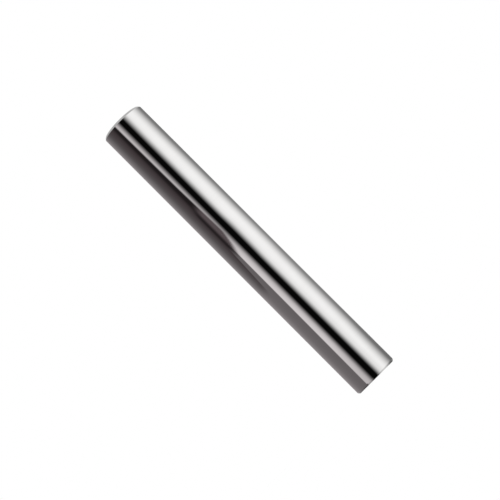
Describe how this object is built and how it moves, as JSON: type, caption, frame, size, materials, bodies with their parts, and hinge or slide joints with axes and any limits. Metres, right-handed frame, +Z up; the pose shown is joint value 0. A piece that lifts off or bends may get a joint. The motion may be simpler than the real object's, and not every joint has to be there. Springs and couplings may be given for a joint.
{
  "type": "pin gauge",
  "caption": "Plain cylindrical pin gauge: a polished steel pin of exact diameter with flat chamfered ends, used to check the size of holes.",
  "frame": {"origin": "centre of the lower end face, on the surface that the pin stands on", "axes": "+Z up along the pin's axis; X and Y are alike, because the pin is round"},
  "size_m": [0.0068, 0.0068, 0.0508],
  "materials": {
    "polished_steel": "polished"
  },
  "bodies": {
    "root": {"gauge_pin": "polished_steel"}
  },
  "joints": []
}
